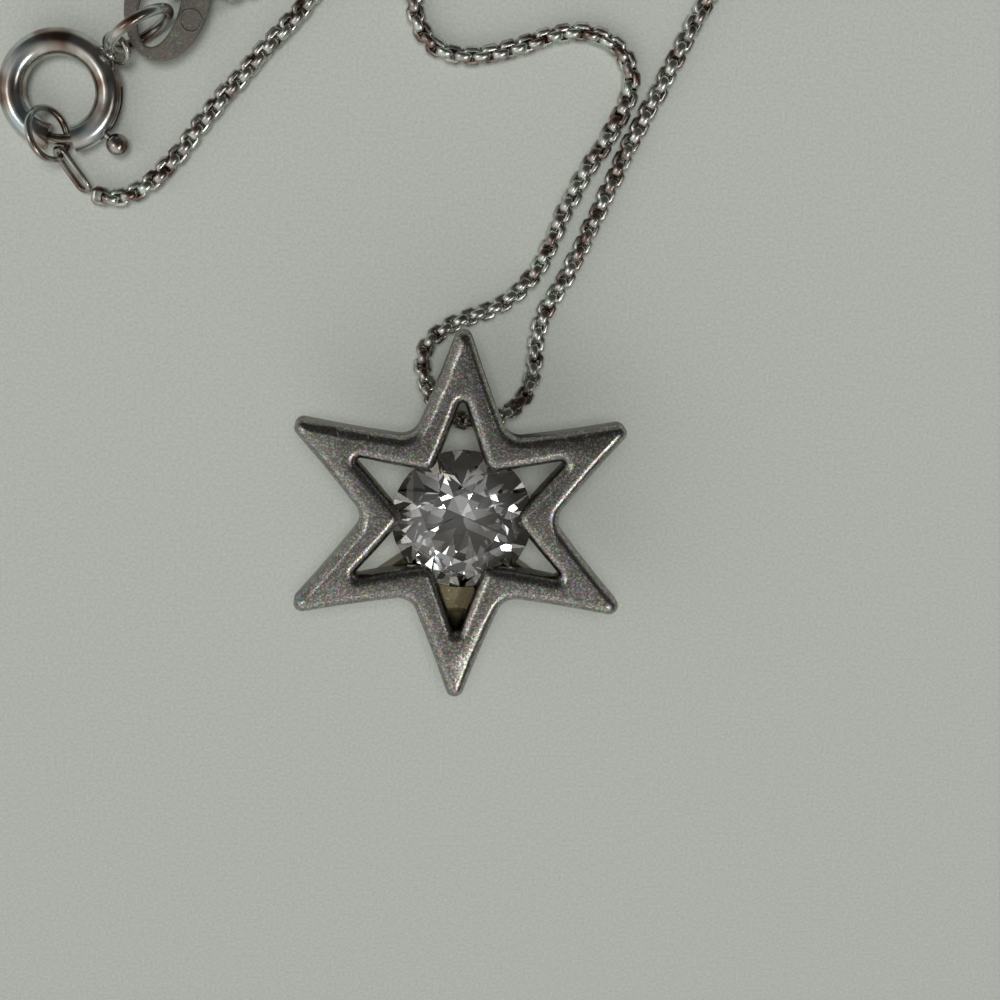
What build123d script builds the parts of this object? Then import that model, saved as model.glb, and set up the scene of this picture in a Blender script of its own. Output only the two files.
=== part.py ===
from build123d import *
from math import cos, pi, radians, sin, sqrt, tan
import os

# A six-pointed star pendant lying face up, and the box chain it hangs on, closed by its
# spring ring. Millimetres, +Z up, +Y towards the star's top point. The origin is on the
# surface that everything lies on, straight below the middle of the star.

# Star band: a pierced star with a domed front, rounded notches and rounded prongs
point_count = 6
tip_reach = 10.02
notch_reach = 4.56
opening_reach = 6.05
prong_reach = 2.68
outer_sag = 0.16
inner_sag = 0.1
tip_radius = 0.43
notch_radius = 0.95
opening_radius = 0.16
prong_radius = 0.6
band_thickness = 1.2
dome_rise = 0.22
dome_run = 0.4
dome_round = 0.5

# Round brilliant stone
stone_diameter = 6.85
stone_place = (0.17, -0.2)
girdle_rise = 0.14
girdle_height = 0.16
crown_height = 1.1
crown_angle = 34.5
star_facet_angle = 21.0
upper_half_angle = 41.0
pavilion_angle = 40.75
lower_half_angle = 42.2
facet_ways = 8

# Collet behind the stone, and the plate that joins it to the lower points
culet_lift = 0.7
seat_clearance = 0.06
seat_drop = 0.15
hook_clearance = 0.14
collet_wall = 0.36
collet_drop = 1.05
foot_radius = 1.95
foot_height = 0.7
plate_lap = 0.25
plate_shoulder = (2.2, -1.9)
plate_ear = (3.9, -3.1)
plate_waist = (1.7, -3.9)
plate_corner = (0.85, -6.1)
step_place = 4.75
step_run = 0.3
step_drop = 0.3

# Two bails soldered behind the arms of the top point, which the chain runs through
bail_wire = 0.4
bail_width = 0.6
bail_span = 2.3
bail_along = 3.95
bail_foot = 0.05
bail_sink = 0.15

# Box chain: the width of its links, and how much of a run an arc may take
chain_width = 0.87
arc_share = 0.45

# Spring ring: a hollow ring with a gap, its gate wire, and the ball that draws it back
clasp_place = (-19.0, 19.4)
clasp_lift = 0.14
clasp_mid = 2.235
clasp_tube = 0.64
clasp_wall = 0.32
gate_clearance = 0.06
gate_start = 246
gap_start = 254
gap_end = 284
ball_angle = 317
ball_gap = 0.1
ball_radius = 0.53
stem_radius = 0.19
gate_travel = 42
slot_clearance = 0.05
slot_overrun = 2

# Eye soldered on the spring ring, tilted up
eye_angle = 36.5
eye_mid = 0.67
eye_wire = 0.155
eye_tilt = 45
bead_radius = 0.33

# Ring that stands on edge through the eye and the tag
clasp_ring_mid = 1.55
clasp_ring_wire = 0.25
clasp_ring_turn = 34.4
clasp_ring_tilt = 78.7
ground_gap = 0.02

# Flat oval tag with an off-centre oval hole
tag_offset = (1.26, 1.49)
tag_turn = -17.5
tag_half_width = 1.92
tag_half_length = 3.0
tag_thickness = 0.42
tag_hole_place = (-0.27, -0.5)
tag_hole_half_width = 0.9
tag_hole_half_length = 1.95
tag_edge = 0.08
limb_reach = 1.0
link_clearance = 0.06

# Ring between the tag's wide limb and the chain
tag_ring_mid = 1.25
tag_ring_wire = 0.15
tag_ring_turn = 4
tag_ring_along = 0.6

# Ring round the gate wire, and the long link that slopes down from it to the chain
end_ring_mid = 1.218
end_ring_wire = 0.165
end_ring_inset = 0.19
end_ring_angle = 254.3
end_ring_turn = 106.8
end_ring_tilt = 57.1
end_link_lag = 21.2
end_link_wire = 0.15
end_link_width = 0.78
end_link_length = 1.55
end_link_turn = -56.8
end_link_tilt = 50.9
end_link_dip = 12.5

# Chosen points of the chain's middle line, from the long link round to the tag's ring
chain_route = [
    (-17.52, 14.62, 0.46), (-16.75, 14.45, 0.44), (-15.80, 14.70, 0.44),
    (-14.80, 15.35, 0.44), (-13.70, 16.60, 0.44), (-12.40, 18.30, 0.44),
    (-10.90, 20.10, 0.44), (-9.30, 21.90, 0.44), (-7.60, 23.70, 0.44),
    (-6.10, 26.30, 0.44), (-6.80, 30.20, 0.44), (-9.60, 34.40, 0.44),
    (-9.20, 39.60, 0.44), (-4.60, 43.00, 0.44), (1.30, 41.60, 0.44),
    (3.20, 36.30, 0.44), (0.40, 31.40, 0.44), (-2.10, 28.00, 0.44),
    (-2.70, 24.60, 0.44), (-2.30, 22.50, 0.44), (-0.60, 21.50, 0.44),
    (1.90, 21.90, 0.44), (4.90, 23.10, 0.44), (7.10, 22.60, 0.44),
    (8.10, 20.80, 0.44), (7.30, 18.70, 0.44), (5.80, 16.30, 0.44),
    (4.60, 13.80, 0.44), (3.80, 11.50, 0.44), (2.10, 9.80, 0.44),
    (-0.50, 8.90, 0.44), (-1.80, 7.70, 0.44), (-1.80, 6.20, 0.80),
    (-1.20, 4.90, 1.10), (-0.10, 4.15, 1.05), (1.20, 4.05, 1.05),
    (2.60, 4.60, 1.05), (3.60, 5.75, 0.60), (3.75, 7.60, 0.44),
    (3.95, 9.30, 0.44), (5.20, 11.40, 0.44), (6.30, 13.80, 0.44),
    (7.60, 17.00, 0.44), (9.40, 20.70, 0.44), (11.40, 24.90, 0.44),
    (15.20, 30.80, 0.44), (22.20, 37.00, 0.44), (35.60, 45.20, 0.44),
    (47.80, 58.80, 0.44), (55.40, 77.60, 0.44), (56.00, 100.60, 0.44),
    (46.80, 120.40, 0.44), (29.20, 134.20, 0.44), (7.00, 139.80, 0.44),
    (-16.60, 137.40, 0.44), (-36.80, 126.40, 0.44), (-49.80, 108.00, 0.44),
    (-53.60, 85.60, 0.44), (-47.80, 64.80, 0.44), (-36.20, 49.60, 0.44),
    (-23.60, 40.20, 0.44), (-14.60, 34.20, 0.44), (-10.20, 30.00, 0.44),
    (-8.90, 27.40, 0.44), (-8.90, 25.60, 0.44), (-9.80, 24.40, 0.52),
    (-11.18, 24.10, 0.80),
]

stone_radius = stone_diameter / 2
pavilion_slope = tan(radians(pavilion_angle))
crown_slope = tan(radians(crown_angle))
girdle_low = culet_lift + stone_radius * pavilion_slope
girdle_top = girdle_low + girdle_height
table_level = girdle_top + crown_height
table_corner = stone_radius - crown_height / crown_slope
star_back = girdle_top - girdle_rise
collet_top = girdle_low - collet_drop
stone_centre = Vector(*stone_place, 0)
stone_axis = Axis(stone_centre, (0, 0, 1))
stone_section = Plane(origin=stone_centre, x_dir=(1, 0, 0), z_dir=(0, -1, 0))


def polar(reach, angle):
    return Vector(reach * cos(radians(angle)), reach * sin(radians(angle)))


def star_edges(reach, notch, sag):
    # Closed star of slightly hollow edges
    half_step = 180 / point_count
    corners = []
    for number in range(point_count):
        corners.append(polar(reach, 90 + 2 * number * half_step))
        corners.append(polar(notch, 90 + (2 * number + 1) * half_step))
    for start, end in zip(corners, corners[1:] + corners[:1]):
        middle = (start + end) / 2
        ThreePointArc(start, middle - middle.normalized() * sag, end)


def by_reach(vertices):
    return vertices.group_by(lambda vertex: round(Vector(vertex).length, 2))


def edge_foot(reach, notch):
    # Point nearest the middle on the line of the star edge right of the top point
    tip = polar(reach, 90)
    along = (tip - polar(notch, 90 - 180 / point_count)).normalized()
    return tip - along * tip.dot(along)


def facet_cut(angle, way, reach, height):
    # Keeps what lies below a plane of this angle, which passes through reach at this height
    lean = radians(angle)
    normal = polar(sin(lean), way) + Vector(0, 0, cos(lean))
    foot = stone_centre + polar(reach, way) + Vector(0, 0, height)
    split(bisect_by=Plane(origin=foot, z_dir=normal), keep=Keep.BOTTOM)


def ring_plane(centre, turn, tilt, dip=0):
    # Plane of a wire ring: x_dir points at this turn and dips, y_dir rises to its left at this tilt
    along = polar(cos(radians(dip)), turn) - Vector(0, 0, sin(radians(dip)))
    level = polar(1, turn + 90)
    rising = level * cos(radians(tilt)) + along.cross(level) * sin(radians(tilt))
    return Plane(origin=centre, x_dir=along, z_dir=along.cross(rising))


def on_ring(plane, mid, angle):
    spot = polar(mid, angle)
    return plane.origin + plane.x_dir * spot.X + plane.y_dir * spot.Y


def oval_reach(half_width, half_length, height):
    return half_width * sqrt(1 - (height / half_length) ** 2)


def corner_radii(points):
    # Each arc takes the same share of the shorter of its two runs
    found = []
    for before, corner, after in zip(points, points[1:], points[2:]):
        shorter = min((corner - before).length, (after - corner).length)
        turn = radians((corner - before).get_angle(after - corner))
        found.append(arc_share * shorter / tan(turn / 2))
    return found


# Stone: a round blank cut by the planes of its facets
with BuildPart() as stone:
    with BuildSketch(Plane.XY.offset(culet_lift)):
        with Locations(stone_place):
            Circle(stone_radius)
    extrude(amount=table_level - culet_lift)
    facet_step = 360 / facet_ways
    table_side = table_corner * cos(radians(facet_step / 2))
    chord = stone_radius * cos(radians(facet_step / 4))
    for number in range(facet_ways):
        way = facet_step * number
        facet_cut(crown_angle, way, stone_radius, girdle_top)
        facet_cut(star_facet_angle, way + facet_step / 2, table_side, table_level)
        facet_cut(180 - pavilion_angle, way, stone_radius, girdle_low)
        for side in (-1, 1):
            half_way = way + side * facet_step / 4
            facet_cut(upper_half_angle, half_way, chord, girdle_top)
            facet_cut(180 - lower_half_angle, half_way, chord, girdle_low)

with BuildPart() as star_frame:
    # Collet: a cone that follows the stone's back and stands on a short round foot
    cone_reach = (collet_top - culet_lift) / pavilion_slope + collet_wall
    with BuildSketch(stone_section):
        with BuildLine():
            Polyline(
                (0, 0), (foot_radius, 0), (foot_radius, foot_height),
                (cone_reach, collet_top), (0, collet_top), close=True,
            )
        make_face()
    revolve(axis=stone_axis)
    # Plate under the arms of the lower points, stepped down within the bottom point
    right_side = [plate_shoulder, plate_ear, plate_waist, plate_corner]
    left_side = [(-x, y) for x, y in reversed(right_side)]
    with BuildSketch(Plane.XY.offset(star_back)):
        with BuildLine():
            Polyline(*right_side, *left_side, close=True)
        make_face()
    extrude(amount=collet_top - plate_lap - star_back)
    step_end = plate_corner[1] - step_run
    with BuildSketch(Plane.YZ):
        with BuildLine():
            Polyline(
                (-step_place, star_back), (-step_place - step_run, star_back - step_drop),
                (step_end, star_back - step_drop), (step_end, star_back), close=True,
            )
        make_face()
    extrude(amount=plate_waist[0], both=True, mode=Mode.SUBTRACT)
    # Bails, each in the upright plane along the middle of its arm
    arm_foot = (edge_foot(tip_reach, notch_reach) + edge_foot(opening_reach, prong_reach)) / 2
    arm_out = arm_foot.normalized()
    bail_height = star_back + bail_sink - bail_foot
    hole_height = star_back - bail_foot - bail_wire
    for side in (-1, 1):
        along = Vector(-side * arm_out.Y, arm_out.X)
        middle = Vector(side * arm_foot.X, arm_foot.Y) + along * bail_along
        upright = Plane(origin=middle, x_dir=along, z_dir=along.cross(Vector(0, 0, 1)))
        with BuildSketch(upright):
            with Locations((0, bail_foot + bail_height / 2)):
                Rectangle(bail_span + 2 * bail_wire, bail_height)
            with Locations((0, star_back - hole_height / 2)):
                Rectangle(bail_span, hole_height, mode=Mode.SUBTRACT)
        extrude(amount=bail_width / 2, both=True)
    # Band, and its front domed between two fine arrises
    with BuildSketch(Plane.XY.offset(star_back)) as outline:
        with BuildLine():
            star_edges(tip_reach, notch_reach, outer_sag)
        make_face()
        fillet(by_reach(outline.vertices())[-1], tip_radius)
        fillet(by_reach(outline.vertices())[0], notch_radius)
    extrude(amount=band_thickness)
    with BuildSketch(Plane.XY.offset(star_back)) as opening:
        with BuildLine():
            star_edges(opening_reach, prong_reach, inner_sag)
        make_face()
        fillet(by_reach(opening.vertices())[-1], opening_radius)
        fillet(by_reach(opening.vertices())[0], prong_radius)
    extrude(amount=band_thickness, mode=Mode.SUBTRACT)
    front = star_frame.faces().sort_by(Axis.Z)[-1]
    chamfer(front.edges(), dome_rise, dome_run, reference=front)
    ridge = star_frame.faces().sort_by(Axis.Z)[-1]
    fillet(ridge.edges(), dome_round)
    # Room for the stone, which also hollows the prongs that hook over its crown
    room_reach = stone_radius + seat_clearance
    crown_room = girdle_top + hook_clearance
    with BuildSketch(stone_section):
        with BuildLine():
            Polyline(
                (0, culet_lift - seat_drop), (room_reach, girdle_low),
                (room_reach, crown_room), (0, crown_room + room_reach * crown_slope), close=True,
            )
        make_face()
    revolve(axis=stone_axis, mode=Mode.SUBTRACT)

# Chain: a tube along its route, of runs joined by tangent arcs
route = [Vector(point) for point in chain_route]
radii = corner_radii(route)
with BuildPart() as chain:
    with BuildLine() as middle_line:
        FilletPolyline(*route, radius=radii)
    with BuildSketch(Plane(origin=route[0], z_dir=route[1] - route[0])):
        Circle(chain_width / 2)
    sweep(path=middle_line.wires()[0])
chain_length = middle_line.wires()[0].length
chain_section = pi * chain_width ** 2 / 4
print("chain radii", [round(radius, 2) for radius in radii])
print("chain length", round(chain_length, 2))
print("chain volume, as a share of section times length",
      round(chain.part.volume / (chain_length * chain_section), 4))

# Spring ring
clasp_centre = Vector(*clasp_place, clasp_tube + clasp_lift)
clasp_axis = Axis(clasp_centre, (0, 0, 1))
clasp_reach = clasp_mid + clasp_tube
bore_radius = clasp_tube - clasp_wall
gate_radius = bore_radius - gate_clearance
ball_reach = clasp_reach + ball_gap + ball_radius


def clasp_section(angle):
    # Upright plane across the spring ring's tube at this angle
    out = polar(1, angle)
    return Plane(origin=clasp_centre + out * clasp_mid, x_dir=out, z_dir=polar(1, angle + 90))


eye_out = polar(1, eye_angle)
eye_start = clasp_centre + eye_out * clasp_reach
eye_rising = eye_out * cos(radians(eye_tilt)) + Vector(0, 0, sin(radians(eye_tilt)))
eye_centre = eye_start + eye_rising * eye_mid
eye_plane = Plane(origin=eye_centre, x_dir=eye_rising, z_dir=eye_rising.cross(polar(1, eye_angle - 90)))

with BuildPart() as clasp_body:
    with BuildSketch(clasp_section(gap_end)):
        Circle(clasp_tube)
    revolve(axis=clasp_axis, revolution_arc=360 - gap_end + gap_start)
    with Locations(eye_start):
        Sphere(bead_radius)
    with Locations(eye_plane.location):
        Torus(eye_mid, eye_wire)
    with BuildSketch(clasp_section(gap_end)):
        Circle(bore_radius)
    revolve(axis=clasp_axis, revolution_arc=360 - gap_end + gap_start, mode=Mode.SUBTRACT)
    # Slot that the ball's stem runs along
    slot_half_height = stem_radius + slot_clearance
    slot_start = ball_angle - slot_overrun - 180 * slot_half_height / (pi * clasp_reach)
    slot_arc = gate_travel + 2 * (ball_angle - slot_start)
    with BuildSketch(clasp_section(slot_start)):
        with Locations((clasp_tube, 0)):
            Rectangle(2 * clasp_tube, 2 * slot_half_height)
    revolve(axis=clasp_axis, revolution_arc=slot_arc, mode=Mode.SUBTRACT)

with BuildPart() as clasp_gate:
    with BuildSketch(clasp_section(gate_start)):
        Circle(gate_radius)
    revolve(axis=clasp_axis, revolution_arc=ball_angle - gate_start)
    ball_out = polar(1, ball_angle)
    with BuildSketch(Plane(origin=clasp_centre + ball_out * clasp_mid, z_dir=ball_out)):
        Circle(stem_radius)
    extrude(amount=ball_reach - clasp_mid)
    with Locations(clasp_centre + ball_out * clasp_mid):
        Sphere(gate_radius)
    with Locations(clasp_centre + ball_out * ball_reach):
        Sphere(ball_radius)

# Ring through the eye: its middle line passes through the eye's middle
clasp_ring_height = ground_gap + clasp_ring_wire + clasp_ring_mid * sin(radians(clasp_ring_tilt))
eye_drop = (clasp_ring_height - eye_centre.Z) / sin(radians(clasp_ring_tilt))
clasp_ring_run = sqrt(clasp_ring_mid ** 2 - eye_drop ** 2)
clasp_ring_shift = polar(eye_drop * cos(radians(clasp_ring_tilt)), clasp_ring_turn + 90)
clasp_ring_centre = eye_centre + polar(clasp_ring_run, clasp_ring_turn) + clasp_ring_shift
clasp_ring_centre.Z = clasp_ring_height
clasp_ring_plane = ring_plane(clasp_ring_centre, clasp_ring_turn, clasp_ring_tilt)
with BuildPart() as clasp_ring:
    with Locations(clasp_ring_plane.location):
        Torus(clasp_ring_mid, clasp_ring_wire)

# Tag: its narrow limb lies over the low side of the ring
limb_drop = sqrt(clasp_ring_mid ** 2 - limb_reach ** 2)
tag_low = clasp_ring_height - limb_drop + clasp_ring_wire + link_clearance
tag_origin = Vector(clasp_ring_centre.X + tag_offset[0], clasp_ring_centre.Y + tag_offset[1], tag_low)
tag_plane = Plane(origin=tag_origin, x_dir=polar(1, tag_turn), z_dir=(0, 0, 1))
with BuildPart() as tag:
    with BuildSketch(tag_plane):
        Ellipse(tag_half_width, tag_half_length)
        with Locations(tag_hole_place):
            Ellipse(tag_hole_half_width, tag_hole_half_length, mode=Mode.SUBTRACT)
    extrude(amount=tag_thickness)
    chamfer(tag.faces().sort_by(Axis.Z)[-1].edges(), tag_edge)
    chamfer(tag.faces().sort_by(Axis.Z)[0].edges(), tag_edge)

# Ring round the tag's wide limb
hole_rise = tag_ring_along - tag_hole_place[1]
hole_side = tag_hole_place[0] + oval_reach(tag_hole_half_width, tag_hole_half_length, hole_rise)
outer_side = oval_reach(tag_half_width, tag_half_length, tag_ring_along)
limb_middle = (hole_side + outer_side) / 2
tag_ring_centre = tag_origin + tag_plane.x_dir * limb_middle + tag_plane.y_dir * tag_ring_along
tag_ring_centre.Z = ground_gap + tag_ring_wire + tag_ring_mid
with BuildPart() as tag_ring:
    with Locations(ring_plane(tag_ring_centre, tag_ring_turn, 90).location):
        Torus(tag_ring_mid, tag_ring_wire)

# Ring round the gate wire
end_ring_centre = clasp_centre + polar(clasp_mid - end_ring_inset, end_ring_angle)
end_ring_fall = end_ring_mid * sin(radians(end_ring_tilt))
end_ring_centre.Z = ground_gap + end_ring_wire + end_ring_fall
end_ring_plane = ring_plane(end_ring_centre, end_ring_turn, end_ring_tilt)
with BuildPart() as end_ring:
    with Locations(end_ring_plane.location):
        Torus(end_ring_mid, end_ring_wire)

# Long link: two straight sides and two round ends, hooked over the ring's low side
hook = on_ring(end_ring_plane, end_ring_mid, 180 + end_link_lag)
link_plane = ring_plane(hook, end_link_turn, end_link_tilt, end_link_dip)
half_width = end_link_width / 2
with BuildPart() as end_link:
    with BuildLine(link_plane) as link_line:
        Line((0, half_width), (end_link_length, half_width))
        ThreePointArc(
            (end_link_length, half_width), (end_link_length + half_width, 0),
            (end_link_length, -half_width),
        )
        Line((end_link_length, -half_width), (0, -half_width))
        ThreePointArc((0, -half_width), (-half_width, 0), (0, half_width))
    link_start = link_plane.origin + link_plane.y_dir * half_width
    with BuildSketch(Plane(origin=link_start, z_dir=link_plane.x_dir)):
        Circle(end_link_wire)
    sweep(path=link_line.wires()[0])

pieces = {
    "star_frame": star_frame,
    "stone": stone,
    "chain": chain,
    "clasp_body": clasp_body,
    "clasp_gate": clasp_gate,
    "clasp_ring": clasp_ring,
    "tag": tag,
    "tag_ring": tag_ring,
    "end_ring": end_ring,
    "end_link": end_link,
}
os.makedirs("parts", exist_ok=True)
for name, piece in pieces.items():
    piece.part.label = name
    export_step(piece.part, f"parts/{name}.step")
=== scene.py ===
import random
from math import pi, radians, sin

import bmesh
import bpy
from mathutils import Matrix, Vector


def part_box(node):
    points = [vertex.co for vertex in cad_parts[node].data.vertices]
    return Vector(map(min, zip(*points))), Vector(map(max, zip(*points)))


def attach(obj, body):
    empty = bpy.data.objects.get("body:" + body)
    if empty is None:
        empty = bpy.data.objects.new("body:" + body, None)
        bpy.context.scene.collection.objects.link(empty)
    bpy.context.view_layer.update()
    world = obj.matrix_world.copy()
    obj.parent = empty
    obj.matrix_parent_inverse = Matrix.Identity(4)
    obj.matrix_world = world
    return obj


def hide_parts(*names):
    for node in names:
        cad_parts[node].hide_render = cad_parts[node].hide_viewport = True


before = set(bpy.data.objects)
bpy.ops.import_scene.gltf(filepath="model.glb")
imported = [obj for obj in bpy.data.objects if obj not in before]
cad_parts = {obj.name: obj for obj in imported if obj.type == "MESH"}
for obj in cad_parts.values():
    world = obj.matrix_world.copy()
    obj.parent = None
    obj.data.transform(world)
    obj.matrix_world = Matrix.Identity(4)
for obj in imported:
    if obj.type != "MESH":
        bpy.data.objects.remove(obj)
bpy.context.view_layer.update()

mm = 0.001
print("frame loaded")

# camera at the photo's viewing angle
camera = {
    "place": (-4.27, 19.80, 82.06),  # mm
    "looksAt": (2.23, 0.05, 0.75),  # mm
    "right": (0.9969, 0.0332, 0.0717),
    "lens": 59.9,
    "sensor": 36.0,
    "near": 0.005,  # m
    "far": 10.0,  # m
}


def makeCamera():
    data = bpy.data.cameras.new("camera")
    data.lens = camera["lens"]
    data.sensor_width = camera["sensor"]
    data.clip_start = camera["near"]
    data.clip_end = camera["far"]
    shot = bpy.data.objects.new("camera", data)
    bpy.context.collection.objects.link(shot)
    place = Vector(camera["place"]) * mm
    back = (place - Vector(camera["looksAt"]) * mm).normalized()
    up = back.cross(Vector(camera["right"])).normalized()
    side = up.cross(back)
    turn = Matrix((side, up, back)).transposed().to_4x4()
    shot.matrix_world = Matrix.Translation(place) @ turn
    bpy.context.scene.camera = shot


makeCamera()
print("camera placed")


# shader helpers
def newMaterial(name):
    made = bpy.data.materials.new(name)
    made.use_nodes = True
    made.node_tree.nodes.clear()
    return made, made.node_tree


def addNode(tree, kind, values=None, **settings):
    node = tree.nodes.new(kind)
    for name, value in settings.items():
        setattr(node, name, value)
    for name, value in (values or {}).items():
        node.inputs[name].default_value = value
    return node


def addTexture(tree, kind, values):
    place = addNode(tree, "ShaderNodeTexCoord")
    texture = addNode(tree, kind, values)
    tree.links.new(place.outputs["Object"], texture.inputs["Vector"])
    return texture


def addRamp(tree, source, stops):
    ramp = addNode(tree, "ShaderNodeValToRGB")
    steps = ramp.color_ramp.elements
    while len(steps) < len(stops):
        steps.new(stops[len(steps)][0])
    for step, (position, color) in zip(steps, stops):
        step.position = position
        step.color = (*color, 1.0)
    tree.links.new(source, ramp.inputs["Fac"])
    return ramp.outputs["Color"]


def addBump(tree, height, values):
    bump = addNode(tree, "ShaderNodeBump", values)
    tree.links.new(height, bump.inputs["Height"])
    return bump


def newGroup(name, inputs, outputs):
    tree = bpy.data.node_groups.new(name, "ShaderNodeTree")
    for label in inputs:
        tree.interface.new_socket(label, in_out="INPUT", socket_type="NodeSocketFloat")
    for label, kind in outputs.items():
        tree.interface.new_socket(label, in_out="OUTPUT", socket_type=kind)
    return tree, tree.nodes.new("NodeGroupInput"), tree.nodes.new("NodeGroupOutput")


def finishShader(tree, shader):
    output = addNode(tree, "ShaderNodeOutputMaterial")
    tree.links.new(shader.outputs["BSDF"], output.inputs["Surface"])


# fine blasted grain: bump height, a tone and coloured sparkle, all fixed to the metal
grainLook = {
    "scale": 13000.0,
    "detail": 3.0,
    "roughness": 0.65,
    "height": 0.03,  # mm
    "tint": (0.62, 0.42, 0.38),  # turned through every hue
}


def makeGrainGroup():
    tree, given, made = newGroup("blastedGrain", ["Sparkle Share", "Depth"], {
        "Tone": "NodeSocketFloat", "Sparkle": "NodeSocketFloat",
        "Tint": "NodeSocketColor", "Normal": "NodeSocketVector",
    })
    link = tree.links.new
    grain = addTexture(tree, "ShaderNodeTexNoise", {
        "Scale": grainLook["scale"], "Detail": grainLook["detail"], "Roughness": grainLook["roughness"],
    })
    cells = addTexture(tree, "ShaderNodeTexVoronoi", {"Scale": grainLook["scale"]})
    parts = addNode(tree, "ShaderNodeSeparateColor")
    link(cells.outputs["Color"], parts.inputs["Color"])
    chosen = addNode(tree, "ShaderNodeMath", operation="LESS_THAN")
    link(parts.outputs["Red"], chosen.inputs[0])
    link(given.outputs["Sparkle Share"], chosen.inputs[1])
    tint = addNode(tree, "ShaderNodeHueSaturation", {"Color": (*grainLook["tint"], 1.0)})
    link(parts.outputs["Green"], tint.inputs["Hue"])
    bump = addBump(tree, grain.outputs["Fac"], {"Distance": grainLook["height"] * mm})
    link(given.outputs["Depth"], bump.inputs["Strength"])
    link(grain.outputs["Fac"], made.inputs["Tone"])
    link(chosen.outputs["Value"], made.inputs["Sparkle"])
    link(tint.outputs["Color"], made.inputs["Tint"])
    link(bump.outputs["Normal"], made.inputs["Normal"])
    return tree


# slow tarnish and fine rub marks for polished metal
tarnishLook = {
    "patchDetail": 2.0,
    "hueDetail": 1.0,
    "rubScale": 12000.0,
    "rubDetail": 2.0,
    "rubSwirl": 1.5,
    "rubDepth": 0.12,
    "rubHeight": 0.01,  # mm
}


def makeTarnishGroup():
    tree, given, made = newGroup("tarnish", ["Patch Scale"], {
        "Patch": "NodeSocketFloat", "Hue": "NodeSocketFloat", "Normal": "NodeSocketVector",
    })
    link = tree.links.new
    patch = addTexture(tree, "ShaderNodeTexNoise", {"Detail": tarnishLook["patchDetail"]})
    link(given.outputs["Patch Scale"], patch.inputs["Scale"])
    hue = addTexture(tree, "ShaderNodeTexNoise", {"Detail": tarnishLook["hueDetail"]})
    link(given.outputs["Patch Scale"], hue.inputs["Scale"])
    parts = addNode(tree, "ShaderNodeSeparateColor")
    link(hue.outputs["Color"], parts.inputs["Color"])
    rub = addTexture(tree, "ShaderNodeTexNoise", {
        "Scale": tarnishLook["rubScale"], "Detail": tarnishLook["rubDetail"],
        "Distortion": tarnishLook["rubSwirl"],
    })
    bump = addBump(tree, rub.outputs["Fac"], {
        "Strength": tarnishLook["rubDepth"], "Distance": tarnishLook["rubHeight"] * mm,
    })
    link(patch.outputs["Fac"], made.inputs["Patch"])
    link(parts.outputs["Red"], made.inputs["Hue"])
    link(bump.outputs["Normal"], made.inputs["Normal"])
    return tree


grainGroup = makeGrainGroup()
tarnishGroup = makeTarnishGroup()

# blasted metal: a grainy tone with sparkle on top, and painted shade on steep walls: a plain dark tone
# standing in for the dark reflections there
# each look's "wall" colour is the painted shade tone for its steep walls
blastedLooks = {
    "satinSilver": {
        "dark": (0.12, 0.108, 0.094), "light": (0.46, 0.445, 0.4), "wall": (0.15, 0.13, 0.115),
        "roughness": 0.25, "sparkle": 0.24, "depth": 0.32,
    },
    # painted shade and a painted warm reflection, for the plate and setting under the band
    "warmSilver": {
        "dark": (0.2, 0.17, 0.095), "light": (0.4, 0.345, 0.21), "wall": (0.27, 0.235, 0.145),
        "roughness": 0.32, "sparkle": 0.03, "depth": 0.5,
    },
    "blastedSilver": {
        "dark": (0.28, 0.265, 0.235), "light": (0.5, 0.48, 0.44), "wall": (0.16, 0.145, 0.125),
        "roughness": 0.85, "sparkle": 0.04, "depth": 0.4,
    },
}
grainDark, grainLight = 0.3, 0.7  # grain values that get the dark and the light tone
wallShadeStart, wallShadeFull = 0.5, 0.15  # upward part of the normal where the painted wall shade starts and is full


def makeBlasted(name, look):
    material, tree = newMaterial(name)
    link = tree.links.new
    grain = addNode(tree, "ShaderNodeGroup", node_tree=grainGroup)
    grain.inputs["Sparkle Share"].default_value = look["sparkle"]
    grain.inputs["Depth"].default_value = look["depth"]
    tone = addRamp(tree, grain.outputs["Tone"], [(grainDark, look["dark"]), (grainLight, look["light"])])
    mixed = addNode(tree, "ShaderNodeMix", data_type="RGBA")
    link(grain.outputs["Sparkle"], mixed.inputs["Factor"])
    link(tone, mixed.inputs["A"])
    link(grain.outputs["Tint"], mixed.inputs["B"])
    # painted shade: steep walls take the plain dark wall tone
    shape = addNode(tree, "ShaderNodeNewGeometry")
    lean = addNode(tree, "ShaderNodeSeparateXYZ")
    link(shape.outputs["True Normal"], lean.inputs["Vector"])
    wallShadeShare = addNode(tree, "ShaderNodeMapRange", {"From Min": wallShadeStart, "From Max": wallShadeFull})
    link(lean.outputs["Z"], wallShadeShare.inputs["Value"])
    wallShaded = addNode(tree, "ShaderNodeMix", data_type="RGBA")
    wallShaded.inputs["B"].default_value = (*look["wall"], 1.0)
    link(wallShadeShare.outputs["Result"], wallShaded.inputs["Factor"])
    link(mixed.outputs["Result"], wallShaded.inputs["A"])
    shader = addNode(tree, "ShaderNodeBsdfPrincipled", {"Metallic": 1.0, "Roughness": look["roughness"]})
    link(wallShaded.outputs["Result"], shader.inputs["Base Color"])
    link(grain.outputs["Normal"], shader.inputs["Normal"])
    finishShader(tree, shader)
    return material


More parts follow.
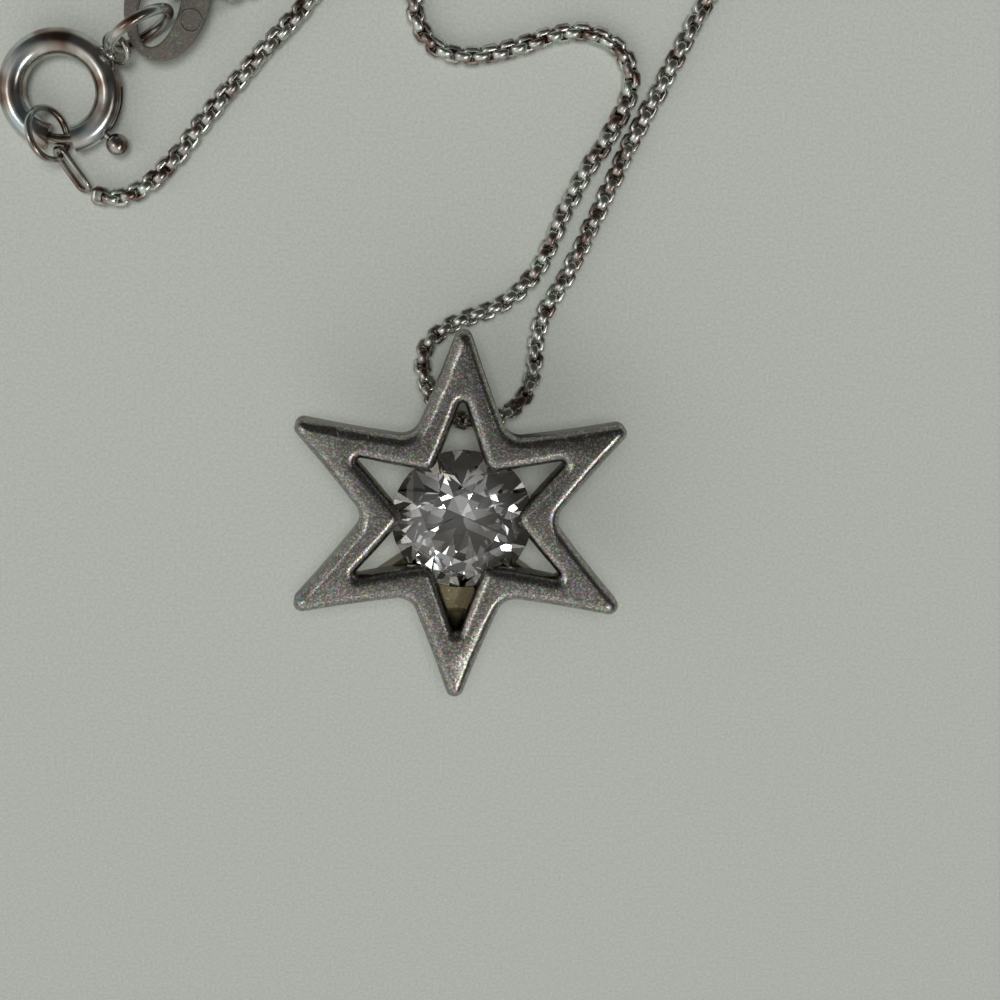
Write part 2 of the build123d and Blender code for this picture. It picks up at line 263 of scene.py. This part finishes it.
# polished metal: bright with dull patches, tinged warm here and cool there
polishedLooks = {
    "polishedSilver": {
        "dull": (0.22, 0.19, 0.17), "bright": (0.72, 0.71, 0.66),
        "warm": (0.9, 0.7, 0.62), "cool": (0.72, 0.84, 0.95), "roughness": 0.22, "patchScale": 560.0,
    },
    "chainSilver": {
        "dull": (0.22, 0.195, 0.175), "bright": (0.76, 0.75, 0.71),
        "warm": (0.95, 0.76, 0.7), "cool": (0.82, 0.93, 0.86), "roughness": 0.27, "patchScale": 1300.0,
    },
}
patchDull, patchBright = 0.35, 0.6  # patch values that are dull and bright
tinge = {"warm": 0.32, "plainFrom": 0.46, "plainTo": 0.54, "cool": 0.68, "plain": (1.0, 1.0, 1.0)}


def makePolished(name, look):
    material, tree = newMaterial(name)
    link = tree.links.new
    tarnish = addNode(tree, "ShaderNodeGroup", node_tree=tarnishGroup)
    tarnish.inputs["Patch Scale"].default_value = look["patchScale"]
    tone = addRamp(tree, tarnish.outputs["Patch"], [(patchDull, look["dull"]), (patchBright, look["bright"])])
    tint = addRamp(tree, tarnish.outputs["Hue"], [
        (tinge["warm"], look["warm"]), (tinge["plainFrom"], tinge["plain"]),
        (tinge["plainTo"], tinge["plain"]), (tinge["cool"], look["cool"]),
    ])
    mixed = addNode(tree, "ShaderNodeMix", {"Factor": 1.0}, data_type="RGBA", blend_type="MULTIPLY")
    link(tone, mixed.inputs["A"])
    link(tint, mixed.inputs["B"])
    shader = addNode(tree, "ShaderNodeBsdfPrincipled", {"Metallic": 1.0, "Roughness": look["roughness"]})
    link(mixed.outputs["Result"], shader.inputs["Base Color"])
    link(tarnish.outputs["Normal"], shader.inputs["Normal"])
    finishShader(tree, shader)
    return material


# stone: clear in the middle, with painted grey toward its rim where it shows the dark setting behind it
gem = {
    "clear": (0.97, 0.98, 1.0),
    # the rim colour is painted shade: the grey of the dark setting seen through the stone's edge
    "rim": (0.24, 0.225, 0.19),
    "start": 2.1,  # mm from the stone's middle, where the grey begins
    "end": 2.7,  # mm, where it is full
    "roughness": 0.02,
    "bending": 2.15,
}


def makeStoneMaterial():
    material, tree = newMaterial("clearStone")
    link = tree.links.new
    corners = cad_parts["stone"].bound_box
    middle = [sum(corner[axis] for corner in corners) / len(corners) for axis in range(3)]
    place = addNode(tree, "ShaderNodeTexCoord")
    aside = addNode(tree, "ShaderNodeVectorMath", operation="SUBTRACT")
    aside.inputs[1].default_value = middle
    link(place.outputs["Object"], aside.inputs[0])
    flat = addNode(tree, "ShaderNodeVectorMath", operation="MULTIPLY")
    flat.inputs[1].default_value = (1.0, 1.0, 0.0)
    link(aside.outputs["Vector"], flat.inputs[0])
    reach = addNode(tree, "ShaderNodeVectorMath", operation="LENGTH")
    link(flat.outputs["Vector"], reach.inputs[0])
    share = addNode(tree, "ShaderNodeMapRange", {"From Min": gem["start"] * mm, "From Max": gem["end"] * mm})
    link(reach.outputs["Value"], share.inputs["Value"])
    # painted shade: clear in the middle, grey toward the rim
    tint = addRamp(tree, share.outputs["Result"], [(0.0, gem["clear"]), (1.0, gem["rim"])])
    shader = addNode(tree, "ShaderNodeBsdfPrincipled", {
        "Roughness": gem["roughness"], "IOR": gem["bending"], "Transmission Weight": 1.0, "Metallic": 0.0,
    })
    link(tint, shader.inputs["Base Color"])
    finishShader(tree, shader)
    return material


materials = {}
for name, look in blastedLooks.items():
    materials[name] = makeBlasted(name, look)
for name, look in polishedLooks.items():
    materials[name] = makePolished(name, look)
materials["clearStone"] = makeStoneMaterial()
print("materials made")


def paint(piece, material):
    piece.data.materials.clear()
    piece.data.materials.append(material)


def linkPiece(name, mesh):
    piece = bpy.data.objects.new(name, mesh)
    bpy.context.collection.objects.link(piece)
    return piece


def smoothFaces(bm, sharp):
    for face in bm.faces:
        face.smooth = True
    for edge in bm.edges:
        edge.smooth = edge.calc_face_angle(pi) < radians(sharp)


# smooth-shaded twins of the turned and soldered metal parts
twins = {
    "star_frame": {
        "name": "starFrame", "material": "satinSilver", "slot": "satin_silver", "body": "necklace",
        "sharp": 32,  # degrees
        "below": 3.68,  # mm, top of the plate behind the band; faces under it get painted shade and a painted warm reflection
        "belowMaterial": "warmSilver",
    },
    "clasp_body": {
        "name": "springRing", "material": "polishedSilver", "slot": "polished_silver", "body": "necklace",
        "sharp": 40,
    },
    "clasp_gate": {
        "name": "gateWire", "material": "polishedSilver", "slot": "polished_silver", "body": "gate",
        "sharp": 40,
    },
    "clasp_ring": {
        "name": "claspRing", "material": "polishedSilver", "slot": "polished_silver", "body": "necklace",
        "sharp": 40,
    },
    "tag": {
        "name": "ovalTag", "material": "blastedSilver", "slot": "blasted_silver", "body": "necklace",
        "sharp": 25,
    },
    "tag_ring": {
        "name": "tagRing", "material": "polishedSilver", "slot": "polished_silver", "body": "necklace",
        "sharp": 40,
    },
    "end_ring": {
        "name": "endRing", "material": "polishedSilver", "slot": "polished_silver", "body": "necklace",
        "sharp": 40,
    },
    "end_link": {
        "name": "endLink", "material": "polishedSilver", "slot": "polished_silver", "body": "necklace",
        "sharp": 40,
    },
}
mergeReach = 0.001  # mm
sliverReach = 0.0005  # mm


def makeTwin(node, look):
    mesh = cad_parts[node].data.copy()
    mesh.name = look["name"]
    bm = bmesh.new()
    bm.from_mesh(mesh)
    bmesh.ops.remove_doubles(bm, verts=bm.verts, dist=mergeReach * mm)
    bmesh.ops.dissolve_degenerate(bm, edges=bm.edges, dist=sliverReach * mm)
    smoothFaces(bm, look["sharp"])
    bm.to_mesh(mesh)
    bm.free()
    piece = linkPiece(look["name"], mesh)
    weighted = piece.modifiers.new("weighted", "WEIGHTED_NORMAL")
    weighted.keep_sharp = True
    paint(piece, materials[look["material"]])
    # faces under the plate's top get the painted shade and warm reflection
    if "below" in look:
        mesh.materials.append(materials[look["belowMaterial"]])
        for face in mesh.polygons:
            if face.center.z < look["below"] * mm:
                face.material_index = 1
    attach(piece, look["body"])
    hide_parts(node)


for node, look in twins.items():
    makeTwin(node, look)
paint(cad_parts["stone"], materials["clearStone"])
print("metal parts smoothed")

# box chain: square links of flat strip, each turned a quarter from the last
chain = {
    "side": 0.87,  # mm
    "strip": 0.44,  # mm, width of the strip
    "wall": 0.2,  # mm, thickness of the strip
    "corner": 0.19,  # mm, cut off each corner of the square
    "rim": 0.08,  # mm, cut off the strip's outer edges
    "pitch": 0.447,  # mm
    "turn": 8.0,  # degrees, lean of the links about the chain
    "swing": 18.0,  # degrees, slow twist along the chain
    "swingLength": 60.0,  # mm
    "roll": 11.0,  # degrees, most that a link turns by chance
    "wander": 0.03,  # mm, most that a link lies aside by chance
    "seed": 11,
    "sharp": 50,  # degrees
    "order": 3,  # of the curve along the route
    "fill": 24,  # points of the curve for each point of the route
}
chainRoute = [
    (-17.52, 14.62, 0.46), (-16.75, 14.45, 0.44), (-15.80, 14.70, 0.44),
    (-14.80, 15.35, 0.44), (-13.70, 16.60, 0.44), (-12.40, 18.30, 0.44),
    (-10.90, 20.10, 0.44), (-9.30, 21.90, 0.44), (-7.60, 23.70, 0.44),
    (-6.10, 26.30, 0.44), (-6.80, 30.20, 0.44), (-9.60, 34.40, 0.44),
    (-9.20, 39.60, 0.44), (-4.60, 43.00, 0.44), (1.30, 41.60, 0.44),
    (3.20, 36.30, 0.44), (0.40, 31.40, 0.44), (-2.10, 28.00, 0.44),
    (-2.70, 24.60, 0.44), (-2.30, 22.50, 0.44), (-0.60, 21.50, 0.44),
    (1.90, 21.90, 0.44), (4.90, 23.10, 0.44), (7.10, 22.60, 0.44),
    (8.10, 20.80, 0.44), (7.30, 18.70, 0.44), (5.80, 16.30, 0.44),
    (4.60, 13.80, 0.44), (3.80, 11.50, 0.44), (2.10, 9.80, 0.44),
    (-0.50, 8.90, 0.44), (-1.80, 7.70, 0.44), (-1.80, 6.20, 0.80),
    (-1.20, 4.90, 1.10), (-0.10, 4.15, 1.05), (1.20, 4.05, 1.05),
    (2.60, 4.60, 1.05), (3.60, 5.75, 0.60), (3.75, 7.60, 0.44),
    (3.95, 9.30, 0.44), (5.20, 11.40, 0.44), (6.30, 13.80, 0.44),
    (7.60, 17.00, 0.44), (9.40, 20.70, 0.44), (11.40, 24.90, 0.44),
    (15.20, 30.80, 0.44), (22.20, 37.00, 0.44), (35.60, 45.20, 0.44),
    (47.80, 58.80, 0.44), (55.40, 77.60, 0.44), (56.00, 100.60, 0.44),
    (46.80, 120.40, 0.44), (29.20, 134.20, 0.44), (7.00, 139.80, 0.44),
    (-16.60, 137.40, 0.44), (-36.80, 126.40, 0.44), (-49.80, 108.00, 0.44),
    (-53.60, 85.60, 0.44), (-47.80, 64.80, 0.44), (-36.20, 49.60, 0.44),
    (-23.60, 40.20, 0.44), (-14.60, 34.20, 0.44), (-10.20, 30.00, 0.44),
    (-8.90, 27.40, 0.44), (-8.90, 25.60, 0.44), (-9.80, 24.40, 0.52),
    (-11.18, 24.10, 0.80),
]  # mm, from the long link round to the tag's ring


def readCurve(points):
    curve = bpy.data.curves.new("route", "CURVE")
    curve.dimensions = "3D"
    curve.resolution_u = chain["fill"]
    spline = curve.splines.new("NURBS")
    spline.points.add(len(points) - 1)
    for knot, point in zip(spline.points, points):
        knot.co = (*(Vector(point) * mm), 1.0)
    spline.order_u = chain["order"]
    spline.use_endpoint_u = True
    holder = bpy.data.objects.new("route", curve)
    mesh = bpy.data.meshes.new_from_object(holder)
    path = [vertex.co.copy() for vertex in mesh.vertices]
    bpy.data.meshes.remove(mesh)
    bpy.data.objects.remove(holder)
    bpy.data.curves.remove(curve)
    return path


# places one pitch apart along the path, each with the way the path runs there
def spacedPlaces(path, pitch):
    total = sum((b - a).length for a, b in zip(path, path[1:]))
    count = int(total / pitch)
    step = total / count
    places = []
    due = step / 2
    walked = 0.0
    for a, b in zip(path, path[1:]):
        run = (b - a).length
        while due <= walked + run and len(places) < count:
            places.append((a.lerp(b, (due - walked) / run), (b - a).normalized()))
            due += step
        walked += run
    return places, total


def makeLinkMesh():
    side, strip, wall = chain["side"] * mm, chain["strip"] * mm, chain["wall"] * mm
    cut = {"offset_type": "OFFSET", "segments": 1, "profile": 0.5, "affect": "EDGES", "material": -1}
    bm = bmesh.new()
    bmesh.ops.create_cube(bm, size=1.0)
    bmesh.ops.scale(bm, vec=(side, side, strip), verts=bm.verts)
    ends = [face for face in bm.faces if abs(face.normal.z) > 0.5]
    bmesh.ops.delete(bm, geom=ends, context="FACES")
    corners = [edge for edge in bm.edges if abs(edge.verts[0].co.z - edge.verts[1].co.z) > strip / 2]
    bmesh.ops.bevel(bm, geom=corners, offset=chain["corner"] * mm, **cut)
    bmesh.ops.solidify(bm, geom=list(bm.faces), thickness=wall)
    rims = [edge for edge in bm.edges if edge.is_manifold
            and abs(edge.link_faces[0].normal.z - edge.link_faces[1].normal.z) > 0.5
            and edge.verts[0].co.xy.length > side / 2 - wall / 3]
    bmesh.ops.bevel(bm, geom=rims, offset=chain["rim"] * mm, **cut)
    bmesh.ops.recalc_face_normals(bm, faces=bm.faces)
    mesh = bpy.data.meshes.new("link")
    bm.to_mesh(mesh)
    print("link faces", len(bm.faces))
    bm.free()
    return mesh


def makeChain():
    path = readCurve(chainRoute)
    places, total = spacedPlaces(path, chain["pitch"] * mm)
    print("chain", round(total / mm, 1), "mm,", len(places), "links")
    link = makeLinkMesh()
    chance = random.Random(chain["seed"])
    bm = bmesh.new()
    for number, (place, along) in enumerate(places):
        level = Vector((0, 0, 1)).cross(along).normalized()
        up = along.cross(level)
        turn = Matrix((along, level, up)).transposed().to_4x4()
        twist = chain["swing"] * sin(2 * pi * number * chain["pitch"] / chain["swingLength"])
        quarter = 90 * (number % 2)
        roll = chain["turn"] + twist + quarter + chance.uniform(-chain["roll"], chain["roll"])
        rolled = Matrix.Rotation(radians(roll), 4, "X")
        nudge = Vector((0, chance.uniform(-1, 1), 0)) * chain["wander"] * mm
        copy = link.copy()
        copy.transform(Matrix.Translation(place) @ turn @ Matrix.Translation(nudge) @ rolled)
        bm.from_mesh(copy)
        bpy.data.meshes.remove(copy)
    bmesh.ops.recalc_face_normals(bm, faces=bm.faces)
    smoothFaces(bm, chain["sharp"])
    mesh = bpy.data.meshes.new("boxChain")
    bm.to_mesh(mesh)
    bm.free()
    bpy.data.meshes.remove(link)
    piece = linkPiece("boxChain", mesh)
    paint(piece, materials["chainSilver"])
    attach(piece, "necklace")
    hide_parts("chain")


makeChain()
print("chain linked")

# plain round mark on the tag's wide limb
mark = {
    "place": (-12.89, 22.73),  # mm
    "radius": 0.5,  # mm
    "wire": 0.07,  # mm
    "steps": 40,  # round the ring
    "sides": 8,  # round the wire
}


def makeMark():
    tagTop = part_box("tag")[1][2]
    bm = bmesh.new()
    bmesh.ops.create_circle(bm, segments=mark["sides"], radius=mark["wire"] * mm, cap_ends=False)
    bmesh.ops.rotate(bm, cent=(0, 0, 0), matrix=Matrix.Rotation(pi / 2, 3, "X"), verts=bm.verts)
    bmesh.ops.translate(bm, vec=(mark["radius"] * mm, 0, 0), verts=bm.verts)
    bmesh.ops.spin(bm, geom=bm.verts[:] + bm.edges[:], cent=(0, 0, 0), axis=(0, 0, 1), angle=2 * pi,
                   steps=mark["steps"], use_merge=True)
    bmesh.ops.translate(bm, vec=(mark["place"][0] * mm, mark["place"][1] * mm, tagTop), verts=bm.verts)
    bmesh.ops.recalc_face_normals(bm, faces=bm.faces)
    for face in bm.faces:
        face.smooth = True
    mesh = bpy.data.meshes.new("tagMark")
    bm.to_mesh(mesh)
    bm.free()
    piece = linkPiece("tagMark", mesh)
    paint(piece, materials["blastedSilver"])
    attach(piece, "necklace")


makeMark()
print("tag marked")

# paper floor
floor = {
    "half": 3.0,  # m
    "color": (0.8, 0.845, 0.79),
    "grain": 7000.0,
    "detail": 4.0,
    "dark": 0.9,  # share of the colour in the hollows
    "light": 1.06,  # share on the fibres
    "roughness": 0.9,
    "shine": 0.2,
    "depth": 0.15,
    "height": 0.1,  # mm
}


def makeFloor():
    bm = bmesh.new()
    bmesh.ops.create_grid(bm, x_segments=1, y_segments=1, size=floor["half"])
    mesh = bpy.data.meshes.new("paper")
    bm.to_mesh(mesh)
    bm.free()
    piece = linkPiece("paper", mesh)
    material, tree = newMaterial("paper")
    grain = addTexture(tree, "ShaderNodeTexNoise", {"Scale": floor["grain"], "Detail": floor["detail"]})
    dark = [part * floor["dark"] for part in floor["color"]]
    light = [part * floor["light"] for part in floor["color"]]
    tone = addRamp(tree, grain.outputs["Fac"], [(grainDark, dark), (grainLight, light)])
    shader = addNode(tree, "ShaderNodeBsdfPrincipled", {
        "Roughness": floor["roughness"], "Specular IOR Level": floor["shine"],
    })
    tree.links.new(tone, shader.inputs["Base Color"])
    bump = addBump(tree, grain.outputs["Fac"], {
        "Strength": floor["depth"], "Distance": floor["height"] * mm,
    })
    tree.links.new(bump.outputs["Normal"], shader.inputs["Normal"])
    finishShader(tree, shader)
    paint(piece, material)


# soft lamps: each lights only the stone, only the paper, or the metal alone
lights = {
    "softLeft": {
        "place": (-0.25, -0.03, 0.37), "size": 0.10, "power": 0.13, "color": (1.0, 1.0, 0.98),
        "only": "metal",
    },
    "softRight": {
        "place": (0.27, -0.10, 0.35), "size": 0.09, "power": 0.085, "color": (1.0, 1.0, 0.98),
        "only": "metal",
    },
    "lowRight": {
        "place": (0.16, -0.20, 0.31), "size": 0.08, "power": 0.22, "color": (1.0, 0.98, 0.95),
        "only": "metal",
    },
    "paperFill": {
        "place": (-0.04, 0.21, 0.87), "size": 0.3, "power": 2.2, "color": (1.0, 1.0, 0.98),
        "only": "paper",
    },
    "stoneRoom": {
        "place": (0.0, 0.02, 0.45), "size": 1.1, "power": 0.07, "color": (1.0, 0.97, 0.9),
        "only": "stone",
    },
    "stoneSouth": {
        "place": (0.03, -0.20, 0.30), "size": 0.10, "power": 0.10, "color": (1.0, 1.0, 1.0),
        "only": "stone",
    },
    "stoneWest": {
        "place": (-0.17, -0.08, 0.30), "size": 0.07, "power": 0.03, "color": (0.75, 0.9, 1.0),
        "only": "stone",
    },
    "stoneEast": {
        "place": (0.20, 0.10, 0.28), "size": 0.08, "power": 0.025, "color": (1.0, 0.88, 0.66),
        "only": "stone",
    },
    "stoneNorth": {
        "place": (-0.05, 0.24, 0.26), "size": 0.08, "power": 0.025, "color": (1.0, 1.0, 1.0),
        "only": "stone",
    },
    "stoneLow": {
        "place": (-0.12, -0.30, 0.12), "size": 0.10, "power": 0.04, "color": (1.0, 0.93, 0.8),
        "only": "stone",
    },
    "stoneHigh": {
        "place": (-0.14, 0.10, 0.33), "size": 0.06, "power": 0.05, "color": (0.95, 0.98, 1.0),
        "only": "stone",
    },
    "stoneNear": {
        "place": (-0.09, -0.12, 0.33), "size": 0.05, "power": 0.05, "color": (0.96, 0.98, 1.0),
        "only": "stone",
    },
    "stoneSpark": {
        "place": (0.16, -0.02, 0.34), "size": 0.05, "power": 0.05, "color": (1.0, 1.0, 1.0),
        "only": "stone",
    },
}
lampTarget = (0.0, 0.01, 0.0)  # m


def lightOnly(lamp, only):
    lit = bpy.data.collections.new(lamp.name)
    if only == "metal":
        for other in ("stone", "paper"):
            lit.objects.link(bpy.data.objects[other])
        for linked in lit.collection_objects:
            linked.light_linking.link_state = "EXCLUDE"
    else:
        lit.objects.link(bpy.data.objects[only])
    lamp.light_linking.receiver_collection = lit


def makeLight(name, look):
    data = bpy.data.lights.new(name, "AREA")
    data.size = look["size"]
    data.energy = look["power"]
    data.color = look["color"]
    lamp = bpy.data.objects.new(name, data)
    bpy.context.collection.objects.link(lamp)
    lamp.location = look["place"]
    lamp.rotation_euler = (Vector(lampTarget) - lamp.location).to_track_quat("-Z", "Y").to_euler()
    lightOnly(lamp, look["only"])


# room: brighter toward the lower left, darker toward the upper right, pale at the horizon
room = {
    "level": 0.075,
    "slope": (-0.72, -0.8, 0.0),
    "least": 0.05,
    "most": 0.7,
    "color": (1.0, 0.99, 0.95),
    "horizon": 0.32,
    "from": 0.06,  # height above which the horizon fades
    "to": 0.24,  # height where it has faded
}


def makeRoom():
    world = bpy.data.worlds.new("room")
    world.use_nodes = True
    tree = world.node_tree
    link = tree.links.new
    way = addNode(tree, "ShaderNodeTexCoord")
    toward = addNode(tree, "ShaderNodeVectorMath", operation="DOT_PRODUCT")
    toward.inputs[1].default_value = room["slope"]
    link(way.outputs["Generated"], toward.inputs[0])
    level = addNode(tree, "ShaderNodeMath", operation="ADD")
    level.inputs[1].default_value = room["level"]
    link(toward.outputs["Value"], level.inputs[0])
    held = addNode(tree, "ShaderNodeClamp", {"Min": room["least"], "Max": room["most"]})
    link(level.outputs["Value"], held.inputs["Value"])
    parts = addNode(tree, "ShaderNodeSeparateXYZ")
    link(way.outputs["Generated"], parts.inputs["Vector"])
    rise = addNode(tree, "ShaderNodeMapRange", {"From Min": room["from"], "From Max": room["to"]},
                   interpolation_type="SMOOTHSTEP")
    link(parts.outputs["Z"], rise.inputs["Value"])
    amount = addNode(tree, "ShaderNodeMix", {"A": room["horizon"]})
    link(rise.outputs["Result"], amount.inputs["Factor"])
    link(held.outputs["Result"], amount.inputs["B"])
    background = tree.nodes["Background"]
    background.inputs["Color"].default_value = (*room["color"], 1.0)
    link(amount.outputs["Result"], background.inputs["Strength"])
    bpy.context.scene.world = world


makeFloor()
for name, look in lights.items():
    makeLight(name, look)
makeRoom()
bpy.context.scene.view_settings.view_transform = "Standard"
print("stage lit")
